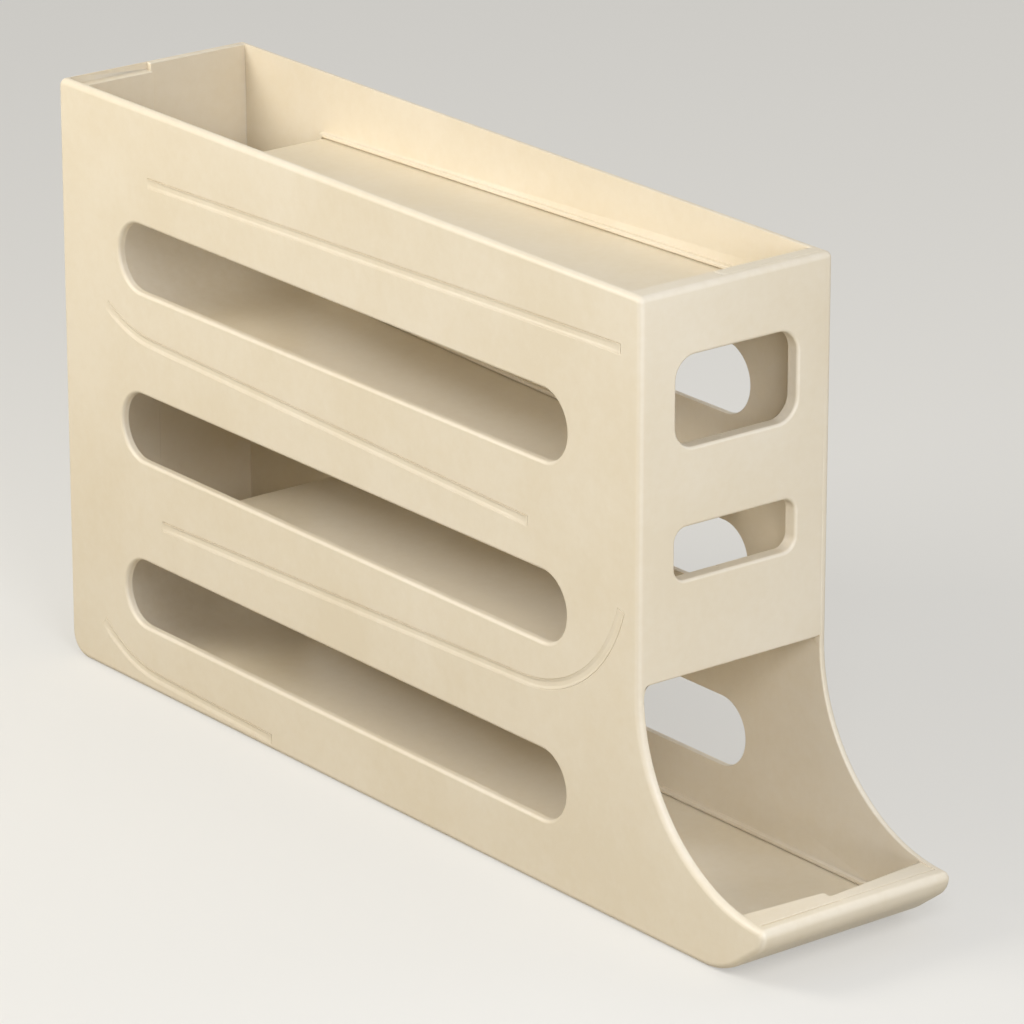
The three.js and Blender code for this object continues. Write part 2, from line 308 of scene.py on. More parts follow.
def block(low, high):
    """A plain box between two corners."""
    bm = bmesh.new()
    low, high = Vector(low), Vector(high)
    bmesh.ops.create_cube(bm, size=1.0)
    bmesh.ops.scale(bm, vec=high - low, verts=bm.verts)
    bmesh.ops.translate(bm, vec=(low + high) / 2, verts=bm.verts)
    return bm


def round_corners(bm, axis, radius, steps):
    """Rounds the four edges of a box that run along one axis."""
    along = [
        edge for edge in bm.edges
        if abs((edge.verts[0].co - edge.verts[1].co).normalized()[axis]) > ALONG
    ]
    bmesh.ops.bevel(
        bm, geom=along, offset=radius, offset_type="OFFSET", segments=steps, profile=0.5,
        affect="EDGES", material=-1, clamp_overlap=False,
    )
    bmesh.ops.remove_doubles(bm, verts=bm.verts, dist=WELD)


def merged(parts):
    """Puts several separate solids into one mesh."""
    whole = bmesh.new()
    for part in parts:
        mesh = bpy.data.meshes.new("part")
        part.to_mesh(mesh)
        part.free()
        whole.from_mesh(mesh)
        bpy.data.meshes.remove(mesh)
    return whole


def ordered(bm):
    """The same solid with its parts in order of place, so that each run gives the same mesh."""
    verts = sorted(bm.verts, key=lambda vert: vert.co[:])
    rank = {vert: index for index, vert in enumerate(verts)}
    pairs = [sorted(rank[vert] for vert in edge.verts) for edge in bm.edges]
    loops = []
    for face in bm.faces:
        loop = [rank[vert] for vert in face.verts]
        first = loop.index(min(loop))
        loops.append(loop[first:] + loop[:first])
    same = bmesh.new()
    placed = [same.verts.new(vert.co) for vert in verts]
    for pair in sorted(pairs):
        same.edges.new([placed[index] for index in pair])
    for loop in sorted(loops):
        same.faces.new([placed[index] for index in loop])
    same.normal_update()
    bm.free()
    return same


def placed_object(name, bm):
    """An object in the scene, made from a solid."""
    mesh = bpy.data.meshes.new(name)
    bm.to_mesh(mesh)
    bm.free()
    holder = bpy.data.objects.new(name, mesh)
    bpy.context.scene.collection.objects.link(holder)
    return holder


def combine(base, steps):
    """Joins solids to a base and cuts solids from it, in the order given."""
    body = placed_object("base", ordered(base))
    helpers = [body]
    for operation, bm in steps:
        tool = placed_object("tool", ordered(bm))
        helpers.append(tool)
        change = body.modifiers.new(operation, "BOOLEAN")
        change.operation = operation
        change.solver = "EXACT"
        change.object = tool
    graph = bpy.context.evaluated_depsgraph_get()
    result = bmesh.new()
    done = bpy.data.meshes.new_from_object(body.evaluated_get(graph))
    result.from_mesh(done)
    bpy.data.meshes.remove(done)
    for helper in helpers:
        mesh = helper.data
        bpy.data.objects.remove(helper)
        bpy.data.meshes.remove(mesh)
    bmesh.ops.remove_doubles(result, verts=result.verts, dist=WELD)
    bmesh.ops.dissolve_limit(
        result, angle_limit=FLAT, use_dissolve_boundaries=False, verts=result.verts,
        edges=result.edges,
    )
    wide = [face for face in result.faces if len(face.verts) > 4]
    bmesh.ops.triangulate(result, faces=wide, quad_method="BEAUTY", ngon_method="BEAUTY")
    bmesh.ops.recalc_face_normals(result, faces=result.faces)
    return ordered(result)


# The case's outlines


TOE_SLOPE = radians(37)

# The straight run from the lip's rounding to the outlet's curve, the lining's corner at the base,
# how far the thick rim's underside slopes, and how much lower than the rim the back flange ends
LIP_RUN = 0.001
LINING_CORNER = 0.003
RIM_SLOPE = 0.002
FLANGE_DROP = 0.00005


def foot(inset, base):
    """The moves along the base, up its rounding and along the slope to where the nose begins."""
    case = sizes()
    radius = case.nose_radius - inset
    nose_y, nose_z = nose_centre()
    tangent_y = nose_y - radius * sin(TOE_SLOPE)
    tangent_z = nose_z - radius * cos(TOE_SLOPE)
    bend = case.foot_round - inset
    start = tangent_y + (tangent_z - base) / tan(TOE_SLOPE) + bend * tan(TOE_SLOPE / 2)
    return [(start, base), (start, base + bend, -TOE_SLOPE), (tangent_y, tangent_z)]


def underside(inset, base):
    """The moves from the back wall down round the corner, along the base and up to the nose."""
    case = sizes()
    corner = max(case.back_corner - inset, case.edge_round)
    back = BACK_FACE - inset
    return [
        (back, base + corner),
        (back - corner, base + corner, -pi / 2),
        *foot(inset, base),
    ]


def side_outline():
    """The whole holder seen from the side."""
    case = sizes()
    rim, back = case.rim_round, case.back_round
    lip_y, lip_z = NOSE_TIP + case.lip_round, case.lip_height - case.lip_round
    blend = asin((case.lip_round - case.nose_drop) / (case.nose_radius - case.lip_round))
    outlet = case.tray_reach - case.outlet_foot
    foot_y = NOSE_TIP + case.outlet_foot
    begin = asin((lip_y + LIP_RUN - foot_y) / outlet)
    moves = [(BACK_FACE - back, RIM - back, -pi / 2)] + underside(0.0, 0.0)
    moves += [
        (*nose_centre(), -(pi / 2 - TOE_SLOPE - blend)),
        (lip_y, lip_z, -(pi / 2 + blend)),
        (foot_y + outlet * sin(begin), case.lip_height + outlet * (1 - cos(begin))),
        (foot_y, case.lip_height + outlet, pi / 2 - begin),
        (front_face(), RIM - rim),
        (front_face() + rim, RIM - rim, -pi / 2),
    ]
    return (BACK_FACE - back, RIM), moves


def far_space():
    """The space inside the outer skin of the end walls, open at the top and the outlet."""
    case = sizes()
    inset = case.cross_wall
    moves = underside(inset, case.base_wall)
    moves += [
        (*nose_centre(), -(pi / 2 - TOE_SLOPE)),
        (NOSE_TIP + case.lip_skin, case.lip_height - case.nose_drop),
        (NOSE_TIP + case.lip_skin, case.outlet_top),
        (front_face() + inset, case.outlet_top),
        (front_face() + inset, RIM + OVERRUN),
    ]
    return (BACK_FACE - inset, RIM + OVERRUN), moves


def near_space():
    """The space inside the near half, with the outlet and the curve behind the lip."""
    case = sizes()
    skin = BACK_FACE - case.cross_wall
    back = BACK_FACE - (case.cross_wall + case.near_lining)
    rim = front_face() + case.rim_depth
    thin = thin_inside()
    centre = cradle_centre(case.near_lip)
    lip_top = case.lip_height - HAIR
    sweep = asin(cradle_reach() / case.cradle_radius)
    ledge = RIM - case.rim_ledge
    moves = [
        (skin, ledge),
        (back, ledge),
        (back, case.base_wall + LINING_CORNER),
        (back - LINING_CORNER, case.base_wall + LINING_CORNER, -pi / 2),
        (centre, case.base_wall),
        (centre, floor_top()),
        (centre, floor_top() + case.cradle_radius, -sweep),
        (centre - cradle_reach(), lip_top),
        (NOSE_TIP - OVERRUN, lip_top),
        (NOSE_TIP - OVERRUN, case.outlet_top),
        (thin, case.outlet_top),
        (thin, RIM - case.rim_band),
        (rim, RIM - case.rim_band + RIM_SLOPE),
        (rim, RIM + OVERRUN),
    ]
    return (skin, RIM + OVERRUN), moves


def toe_block():
    """The part of the side cover that fills the tray's nose behind its skin."""
    case = sizes()
    inset = case.cross_wall + case.seam
    base = case.base_wall + case.fit_gap
    # Just past the end of the lowest channel, so that the two don't share a plane
    start = cradle_centre(case.near_lip) + BITE / 2
    centre = cradle_centre(case.far_lip)
    lip_top = case.lip_height - HAIR
    skin = NOSE_TIP + case.lip_skin + case.seam
    groove_floor = case.lip_height - case.groove_depth
    sweep = asin(cradle_reach() / case.cradle_radius)
    moves = [
        (start, base),
        *foot(inset, base),
        (*nose_centre(), -(pi / 2 - TOE_SLOPE - case.fit_gap / case.nose_radius)),
        (skin, case.lip_height - case.nose_drop - case.fit_gap),
        (skin, groove_floor),
        (skin + case.lip_groove, groove_floor),
        (skin + case.lip_groove, lip_top),
        (centre - cradle_reach(), lip_top),
        (centre, floor_top() + case.cradle_radius, sweep),
    ]
    return (start, floor_top()), moves


def lean(bm, lip):
    """Leans the curve behind the lip: it is deepest at a side panel and less deep at the lap."""
    case = sizes()
    centre_y = cradle_centre(lip)
    centre_z = floor_top() + case.cradle_radius
    for vert in bm.verts:
        off_curve = hypot(vert.co.y - centre_y, vert.co.z - centre_z) - case.cradle_radius
        if abs(off_curve) < HAIR and vert.co.y < centre_y:
            from_lap = abs(vert.co.x + case.lap_offset) / (FAR_FACE - case.panel_wall)
            shift = from_lap * (case.lip_waist + case.lip_flare) - case.lip_waist
            vert.co.y += shift * (vert.co.z - floor_top()) / (case.lip_height - floor_top())
    bmesh.ops.triangulate(bm, faces=[face for face in bm.faces if len(face.verts) == 4])


def front_flange():
    """The side cover's flange inside the front wall, with its thick rim."""
    case = sizes()
    outside = front_face() + case.cross_wall + case.seam
    inside = outside + case.far_flange
    rim = front_face() + case.rim_depth
    return (outside, case.outlet_top), [
        (outside, RIM),
        (rim, RIM),
        (rim, RIM - case.rim_band + RIM_SLOPE),
        (inside, RIM - case.rim_band),
        (inside, case.outlet_top),
    ]


def back_flange():
    """The side cover's flange inside the back wall, with its foot in the rounded corner."""
    case = sizes()
    inset = case.cross_wall + case.seam
    base = case.base_wall + case.fit_gap
    corner = case.back_corner - inset
    reach = corner - case.far_flange
    sweep = acos(reach / corner)
    back = BACK_FACE - inset
    top = RIM - FLANGE_DROP
    return (back, top), [
        (back, base + corner),
        (back - corner, base + corner, -sweep),
        (back - case.far_flange, top),
    ]


# The lines that the ramps follow: their slope, the heights of the low ends of the first two, and
# how high the fourth has risen where it turns up
CLIMB = tan(radians(1.5))
TOP_LINE = 0.191
SECOND_LINE = 0.127
BOTTOM_RISE = 0.0076

# Room behind the first ramp and behind the turns, room behind the third ramp, room in front of
# the second ramp and of the third one's turn, and how far the back and front turns sweep
BACK_ROOM = 0.054
THIRD_BACK_ROOM = 0.059
SECOND_FRONT_ROOM = 0.057
THIRD_TURN_ROOM = 0.060
BACK_SWEEP = radians(60)
FRONT_SWEEP = radians(72)


def sloped(low, height, high):
    """The two points of a straight line from its low end, at a height, up to its high end."""
    return [(low, height), (high, height + CLIMB * abs(high - low))]


def tracks():
    """Each ramp's line: its straight points from the low end to the high one, and its turn."""
    case = sizes()
    front = front_face()
    turn = BACK_FACE - BACK_ROOM
    top_front = front + case.cross_wall + case.near_lining + case.fit_gap
    third = TOP_LINE - 2 * case.tier_pitch
    level = floor_top() - bpy.context.scene.egg_ramps.wall / 2
    bottom = [
        (cradle_centre(case.near_lip) + case.fit_gap, level),
        (turn - (BOTTOM_RISE - level) / CLIMB, level),
        (turn, BOTTOM_RISE),
    ]
    return {
        "top_ramp": (sloped(turn, TOP_LINE, top_front), 0.0),
        "second_ramp": (sloped(front + SECOND_FRONT_ROOM, SECOND_LINE, turn), BACK_SWEEP),
        "third_ramp": (
            sloped(BACK_FACE - THIRD_BACK_ROOM, third, front + THIRD_TURN_ROOM), FRONT_SWEEP,
        ),
        "bottom_ramp": (bottom, BACK_SWEEP),
    }


def strip(points, sweep, below, above, spare=0.0):
    """The closed outline of a strip along a line, from below it to above it."""
    radius = bpy.context.scene.egg_ramps.turn_radius
    line = [Vector(point) for point in points]
    runs = [(after - before).normalized() for before, after in zip(line, line[1:])]
    runs.append(runs[-1])
    side = 1 if runs[0].x > 0 else -1
    ups = [Vector((-run.y, run.x)) * side for run in runs]
    line[0] = line[0] - runs[0] * spare
    if not sweep:
        line[-1] = line[-1] + runs[-1] * spare
    centre = line[-1] + ups[-1] * radius
    turn = sweep + (spare / radius if sweep else 0.0)
    lower = [point - up * below for point, up in zip(line, ups)]
    upper = [point + up * above for point, up in zip(line, ups)]
    moves = [tuple(point) for point in lower[1:]]
    if turn:
        turned = Matrix.Rotation(side * turn, 2) @ (-ups[-1] * (radius - above))
        moves.append((*centre, side * turn))
        moves.append(tuple(centre + turned))
        moves.append((*centre, -side * turn))
        moves += [tuple(point) for point in reversed(upper[:-1])]
    else:
        moves += [tuple(point) for point in reversed(upper)]
    return tuple(lower[0]), moves


def channels(from_x, to_x):
    """The closed channels round the ramps' edges, on one panel."""
    case = sizes()
    room = bpy.context.scene.egg_ramps.wall / 2 + case.fit_gap
    reach = room + case.rail_wall
    end = case.fit_gap + case.rail_wall
    rings = []
    for points, sweep in tracks().values():
        bm = bmesh.new()
        outer = draw(bm, from_x, *strip(points, sweep, reach, reach, end))
        inner = draw(bm, from_x, *strip(points, sweep, room, room, case.fit_gap))
        ring = bmesh.ops.bridge_loops(bm, edges=outer + inner)["faces"]
        thicken(bm, ring, to_x - from_x)
        rings.append(bm)
    return merged(rings)


# How far in and how deep each step of a relief line's rounded wall goes, as shares of its size
RELIEF_WALL = ((0.12, 0.06), (0.14, 0.22), (0.15, 0.34), (0.14, 0.24), (0.14, 0.10))

# How a relief line differs from its ramp's line: how far it reaches above it, where the first one
# ends behind the front wall, how much further forward the third one turns, how much of the fourth
# one shows, how far two of them turn up, and what depth is left at the very ends
RELIEF_ABOVE = 0.0001
TOP_RELIEF_END = 0.010
THIRD_RELIEF_SHIFT = 0.0013
BOTTOM_RELIEF_RUN = 0.068
RELIEF_SWEEPS = {"second_ramp": radians(30), "bottom_ramp": radians(38)}
RELIEF_END_SHARE = 0.15


def turned_end(points, sweep):
    """Where a ramp's line ends after its turn."""
    radius = bpy.context.scene.egg_ramps.turn_radius
    before, last = Vector(points[-2]), Vector(points[-1])
    run = (last - before).normalized()
    side = 1 if run.x > 0 else -1
    up = Vector((-run.y, run.x)) * side
    return last + up * radius - Matrix.Rotation(side * sweep, 2) @ (up * radius)


def fade(bm, face, inward, ends):
    """Makes a relief line shallower towards its ends."""
    reach = sizes().relief_fade
    for vert in bm.verts:
        if (vert.co.x - face) * inward > 0:
            away = min((Vector(vert.co.yz) - end).length for end in ends) / reach
            share = min(RELIEF_END_SHARE + (1 - RELIEF_END_SHARE) * away, 1.0)
            vert.co.x = face + (vert.co.x - face) * share


def relief_track(name, points, sweep):
    """The straight points and the turn of the relief line opposite a ramp."""
    low, high = points[0], points[-1]
    if name == "top_ramp":
        points = [low, (front_face() + TOP_RELIEF_END, high[1])]
    elif name == "third_ramp":
        points = [low, (high[0] - THIRD_RELIEF_SHIFT, high[1])]
    elif name == "bottom_ramp":
        points = [(high[0] - BOTTOM_RELIEF_RUN, high[1] - BOTTOM_RELIEF_RUN * CLIMB), high]
    return points, RELIEF_SWEEPS.get(name, sweep)


def reliefs(face, inward):
    """The shallow lines outside a panel, opposite the channels, with softly sloping walls."""
    case = sizes()
    half = case.relief_width / 2
    lines = []
    for name, track in tracks().items():
        points, sweep = relief_track(name, *track)
        first, second, last = Vector(points[0]), Vector(points[1]), Vector(points[-1])
        ends = (first, turned_end(points, sweep))
        points.insert(1, first + (second - first).normalized() * case.relief_fade)
        if not sweep:
            points.insert(-1, last + (first - last).normalized() * case.relief_fade)
        outline = strip(points, sweep, case.relief_width - RELIEF_ABOVE, RELIEF_ABOVE)
        bm = prism(face - inward * OVERRUN, face + inward * HAIR, *outline)
        # The floor is split where it starts to fade or to turn, so that its long part stays flat
        for mark in (points[1], points[-1] if sweep else points[-2]):
            across = [
                vert for vert in bm.verts if (vert.co.x - face) * inward > 0
                and (Vector(vert.co.yz) - Vector(mark)).length < case.relief_width
            ]
            bmesh.ops.connect_verts(bm, verts=across)
        floor = [part for part in bm.faces if part.normal.x * inward > ALONG]
        for across, deep in RELIEF_WALL:
            bmesh.ops.inset_region(
                bm, faces=floor, thickness=across * half, depth=deep * case.relief_depth,
                use_even_offset=True, use_boundary=True,
            )
        fade(bm, face, inward, ends)
        lines.append(bm)
    return merged(lines)


# How many slots there are, and the share of a slot's half height that its round ends take, just
# short of meeting
SLOT_COUNT = 3
SLOT_END = 0.9999


def slot_heights():
    """The heights of the slots' centres."""
    case = sizes()
    return [case.low_slot + index * case.tier_pitch for index in range(SLOT_COUNT)]


def slots(from_x, to_x):
    """The three long slots with round ends."""
    case = sizes()
    radius = case.slot_height / 2
    cutters = []
    for middle in slot_heights():
        bm = block(
            (from_x, front_face() + case.slot_front, middle - radius),
            (to_x, BACK_FACE - case.slot_back, middle + radius),
        )
        round_corners(bm, 0, radius * SLOT_END, SLOT_STEPS)
        cutters.append(bm)
    return merged(cutters)


# Where the middle of the windows lies, and each window's sill, height and corner radius
WINDOW_MIDDLE = 0.0003
WINDOWS = ((0.1616, 0.0308, 0.0078), (0.1171, 0.0179, 0.0048))


def windows():
    """The two windows in the front wall."""
    case = sizes()
    half = case.window_width / 2
    cutters = []
    for sill, height, radius in WINDOWS:
        bm = block(
            (WINDOW_MIDDLE - half, front_face() - OVERRUN, sill),
            (WINDOW_MIDDLE + half, front_face() + 2 * OVERRUN, sill + height),
        )
        round_corners(bm, 1, radius, WINDOW_STEPS)
        cutters.append(bm)
    return merged(cutters)


def near_room(from_x, to_x):
    """The near space as a solid, with the outlet's near upper corner rounded."""
    case = sizes()
    radius = case.outlet_corner
    bm = bmesh.new()
    region = bmesh.ops.contextual_create(bm, geom=draw(bm, from_x, *near_space()))["faces"]
    top = case.outlet_top
    for vert in bm.verts:
        if abs(vert.co.z - top) < HAIR:
            vert.co.z = top - radius
    for step in range(1, CORNER_STEPS + 2):
        made = bmesh.ops.extrude_face_region(bm, geom=region)["geom"]
        if step > 1:
            bmesh.ops.delete(bm, geom=region, context="FACES_ONLY")
        region = [part for part in made if isinstance(part, bmesh.types.BMFace)]
        turn = min(step / CORNER_STEPS, 1.0) * pi / 2
        for vert in (part for part in made if isinstance(part, bmesh.types.BMVert)):
            vert.co.x = to_x if step > CORNER_STEPS else from_x + radius * (1 - cos(turn))
            if abs(vert.co.z - top) < radius + HAIR:
                vert.co.z = top - radius * (1 - sin(turn))
    bmesh.ops.recalc_face_normals(bm, faces=bm.faces)
    lean(bm, case.near_lip)
    return bm


# How far the fine groove along the lip ends from the panel
GROOVE_END = 0.0004


def near_groove():
    """The fine groove behind the outer skin, along the near half of the lip."""
    case = sizes()
    skin = NOSE_TIP + case.lip_skin
    return block(
        (NEAR_FACE + case.panel_wall + GROOVE_END, skin, case.lip_height - case.groove_depth),
        (-case.lap_offset + BITE, skin + case.lip_groove, case.lip_height + OVERRUN),
    )


# Finishing a piece


def lies(edge, axis, place):
    """Whether both ends of an edge lie at one place on an axis."""
    return all(abs(vert.co[axis] - place) < NEAR for vert in edge.verts)


def on_slot(point):
    """Whether a point lies on the edge of a slot."""
    case = sizes()
    front = front_face() + case.slot_front - NEAR
    back = BACK_FACE - case.slot_back + NEAR
    reach = case.slot_height / 2 + NEAR
    level = any(abs(point.z - middle) < reach for middle in slot_heights())
    return level and front < point.y < back


def rounding(edge, outer_x):
    """The rounding that a sharp outer edge has on the real moulding, from where it lies."""
    case = sizes()
    front = front_face()
    fine = case.lip_groove / 3
    middle = (edge.verts[0].co + edge.verts[1].co) / 2
    over_lip = middle.z - case.lip_height
    joint = case.cross_wall + 2 * case.seam
    depth_in = min(middle.y - front, BACK_FACE - middle.y)
    if lies(edge, 0, outer_x):
        deepest = (
            max(abs(vert.co.x - outer_x) for vert in face.verts) for face in edge.link_faces
        )
        if min(depth or 1.0 for depth in deepest) < case.panel_wall / 2:
            return case.soft_edge
        return case.slot_round if on_slot(middle) else case.edge_round
    if lies(edge, 0, copysign(abs(outer_x) - case.panel_wall, outer_x)):
        if on_slot(middle):
            return case.soft_edge
        if middle.y < front - NEAR:
            return min(case.inner_round, max(over_lip, 0.0) / 3)
        clear = depth_in > joint + case.far_flange + NEAR
        return case.inner_round if middle.z > RIM - NEAR and clear else 0.0
    if lies(edge, 0, FAR_FACE - case.panel_wall - case.seam):
        return 0.0
    if lies(edge, 1, front):
        if any(sill - NEAR < middle.z < sill + height + NEAR for sill, height, _ in WINDOWS):
            return case.window_round
        if middle.z < case.outlet_top + NEAR:
            return case.outlet_round
    on_top = middle.z > RIM - NEAR or abs(over_lip) < 2 * HAIR
    across = abs(edge.verts[0].co.x + edge.verts[1].co.x + 2 * case.lap_offset)
    if abs(over_lip) < 2 * HAIR and across < 4 * HAIR:
        return 0.0
    if middle.y < front:
        depth_in = middle.y - NOSE_TIP
        joint = case.lip_skin + 2 * case.seam
    elif BACK_FACE - joint < middle.y and middle.z > RIM - case.rim_ledge / 2:
        return 0.0
    if joint / 2 < depth_in < joint + NEAR and middle.x > -case.lap_offset - NEAR:
        return fine if on_top else 0.0
    if joint / 2 < depth_in < joint + case.lip_groove + NEAR and on_top:
        return fine
    return case.inner_round if on_top else case.soft_edge


def edge_weights(bm, outer_x):
    """Rounds the sharp outer edges, by a bevel weight, and keeps every other sharp edge crisp."""
    largest = sizes().edge_round
    weight = bm.edges.layers.float.new("bevel_weight_edge")
    for edge in bm.edges:
        if len(edge.link_faces) == 2 and edge.calc_face_angle(0.0) > SHARP:
            size = rounding(edge, outer_x) if edge.is_convex else 0.0
            edge[weight] = size / largest
            edge.smooth = size > 0.0


def finish_piece(name, bm, material, node, width, steps):
    """Makes the final object of a piece, hides the CAD node that it replaces and attaches it to
    the root body.
    """
    for face in bm.faces:
        face.smooth = True
    piece = placed_object(name, bm)
    piece.data.materials.append(material)
    bevel = piece.modifiers.new("Edge rounding", "BEVEL")
    bevel.limit_method = "WEIGHT"
    bevel.width = width
    bevel.segments = steps
    bevel.use_clamp_overlap = False
    bevel.loop_slide = False
    bevel.face_strength_mode = "FSTR_ALL"
    shading = piece.modifiers.new("Flat faces stay flat", "WEIGHTED_NORMAL")
    shading.keep_sharp = True
    shading.use_face_influence = True
    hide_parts(node)
    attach(piece, "root")


def finish_case(node, bm, outer_x):
    """Makes the final object of one of the case's mouldings, by its side panel's outer face."""
    edge_weights(bm, outer_x)
    finish_piece(
        node + "_body", bm, case_plastic(), node,
        sizes().edge_round, CASE_EDGE_STEPS,
    )


# Materials

# The tone of the painted highlight on rounded edges, and of the room that the light comes from
PAINTED_EDGE_HIGHLIGHT = "#F8EFDE"
ROOM = "#FFFDF9"


def add_node(tree, kind, settings=None, inputs=None):
    """Adds a shader node with its settings, and its inputs as values or as links from outputs."""
    node = tree.nodes.new(kind)
    for name, value in (settings or {}).items():
        setattr(node, name, value)
    for name, value in (inputs or {}).items():
        if isinstance(value, bpy.types.NodeSocket):
            tree.links.new(value, node.inputs[name])
        else:
            node.inputs[name].default_value = value
    return node


def per_metre(size):
    """The pattern scale that gives features of a real size."""
    return 1.0 / size


def moulded_plastic(name, light, shade, roughness):
    """Injection-moulded polypropylene, satin from a finely etched mould, made once."""
    if name in bpy.data.materials:
        return bpy.data.materials[name]
    material = bpy.data.materials.new(name)
    material.use_nodes = True
    tree = material.node_tree
    tree.nodes.clear()
    place = add_node(tree, "ShaderNodeTexCoord").outputs["Object"]
    # Pigment that mixed unevenly in the melt: soft clouds a few centimetres wide
    clouds = add_node(tree, "ShaderNodeTexNoise", inputs={
        "Vector": place, "Scale": per_metre(0.055), "Detail": 3.0, "Roughness": 0.55,
    })
    specks = add_node(tree, "ShaderNodeTexNoise", inputs={
        "Vector": place, "Scale": per_metre(0.0035), "Detail": 2.0, "Roughness": 0.6,
    })
    mottle = add_node(tree, "ShaderNodeMath", {"operation": "MULTIPLY_ADD"}, {
        0: specks.outputs["Fac"], 1: 0.35, 2: clouds.outputs["Fac"],
    })
    spread = add_node(tree, "ShaderNodeMapRange", inputs={
        "Value": mottle.outputs[0], "From Min": 0.5, "From Max": 0.85,
    })
    tone = add_node(tree, "ShaderNodeMix", {"data_type": "RGBA"}, {
        "Factor": spread.outputs["Result"], 6: (*shade, 1.0), 7: (*light, 1.0),
    })
    # Painted highlight: the rounded edges are lightened as if light caught them; they are where
    # the surface turns from one of the moulding's flat directions to another
    turned = add_node(tree, "ShaderNodeSeparateXYZ", inputs={
        "Vector": add_node(tree, "ShaderNodeTexCoord").outputs["Normal"],
    })
    sideways = add_node(tree, "ShaderNodeMath", {"operation": "ABSOLUTE"}, {
        0: turned.outputs["X"],
    })
    # Painted highlight on edges that turn partly sideways, towards or away from a side panel
    corner = add_node(tree, "ShaderNodeValToRGB", inputs={"Fac": sideways.outputs[0]})
    stops = corner.color_ramp.elements
    stops[0].position, stops[0].color = 0.06, (0, 0, 0, 1)
    stops[1].position, stops[1].color = 0.30, (0.3, 0.3, 0.3, 1)
    for position, level in ((0.60, 0.3), (0.74, 0.0)):
        stops.new(position).color = (level, level, level, 1)
    # Painted highlight on edges that face forward and up
    upward = add_node(tree, "ShaderNodeMath", {"operation": "MULTIPLY"}, {
        0: turned.outputs["Y"], 1: turned.outputs["Z"],
    })
    front_highlight_mask = add_node(tree, "ShaderNodeMapRange", inputs={
        "Value": upward.outputs[0], "From Min": -0.10, "From Max": -0.40, "To Max": 0.5,
    })
    edges = add_node(tree, "ShaderNodeMath", {"operation": "MAXIMUM"}, {
        0: corner.outputs["Color"], 1: front_highlight_mask.outputs["Result"],
    })
    # Specks make the painted highlight uneven along the edges
    highlight_breakup = add_node(tree, "ShaderNodeMapRange", inputs={
        "Value": specks.outputs["Fac"], "From Min": 0.3, "From Max": 0.7,
        "To Min": 0.45, "To Max": 0.75,
    })
    highlight_share = add_node(tree, "ShaderNodeMath", {"operation": "MULTIPLY"}, {
        0: edges.outputs[0], 1: highlight_breakup.outputs["Result"],
    })
    # Mixes the painted highlight into the plastic's tone
    painted_highlight_tone = add_node(tree, "ShaderNodeMix", {"data_type": "RGBA"}, {
        "Factor": highlight_share.outputs[0], 6: tone.outputs[2], 7: (*linear(PAINTED_EDGE_HIGHLIGHT), 1.0),
    })
    # Sheen varies where the melt filled the mould unevenly
    gloss = add_node(tree, "ShaderNodeMapRange", inputs={
        "Value": clouds.outputs["Fac"], "From Min": 0.3, "From Max": 0.7,
        "To Min": roughness - 0.05, "To Max": roughness + 0.05,
    })
    # The mould's etched grain is about 0.1 mm and is drawn at 0.7 mm, so that it shows
    grain = add_node(tree, "ShaderNodeTexNoise", inputs={
        "Vector": place, "Scale": per_metre(0.0007), "Detail": 3.0, "Roughness": 0.65,
    })
    etched = add_node(tree, "ShaderNodeBump", inputs={
        "Strength": 0.25, "Distance": 0.00004, "Height": grain.outputs["Fac"],
    })
    # Wide thin walls never cool quite flat
    waves = add_node(tree, "ShaderNodeTexNoise", inputs={
        "Vector": place, "Scale": per_metre(0.04), "Detail": 1.0, "Roughness": 0.4,
    })
    sink = add_node(tree, "ShaderNodeBump", inputs={
        "Strength": 0.3, "Distance": 0.0006, "Height": waves.outputs["Fac"],
        "Normal": etched.outputs["Normal"],
    })
    shader = add_node(tree, "ShaderNodeBsdfPrincipled", inputs={
        "Base Color": painted_highlight_tone.outputs[2], "Roughness": gloss.outputs["Result"],
        "Normal": sink.outputs["Normal"], "IOR": 1.49,
    })
    add_node(tree, "ShaderNodeOutputMaterial", inputs={"Surface": shader.outputs["BSDF"]})
    return material


def case_plastic():
    """Cream polypropylene with a satin face: warm, soft highlights and hardly any mirror."""
    finish = bpy.context.scene.egg_finish
    return moulded_plastic("moulded_cream_polypropylene", finish.case, finish.case_shade, 0.42)


def ramp_plastic():
    """The same plastic from a smoother mould, so that eggs roll: a little glossier."""
    finish = bpy.context.scene.egg_finish
    return moulded_plastic("smooth_cream_polypropylene", finish.ramp, finish.ramp_shade, 0.34)


def seen_directly(tree):
    """1 where a surface is seen, straight, in a reflection or through glass, and otherwise 0."""
    path = add_node(tree, "ShaderNodeLightPath")
    either = add_node(tree, "ShaderNodeMath", {"operation": "MAXIMUM"}, {
        0: path.outputs["Is Camera Ray"], 1: path.outputs["Is Glossy Ray"],
    })
    any_way = add_node(tree, "ShaderNodeMath", {"operation": "MAXIMUM"}, {
        0: either.outputs[0], 1: path.outputs["Is Transmission Ray"],
    })
    return any_way.outputs[0]


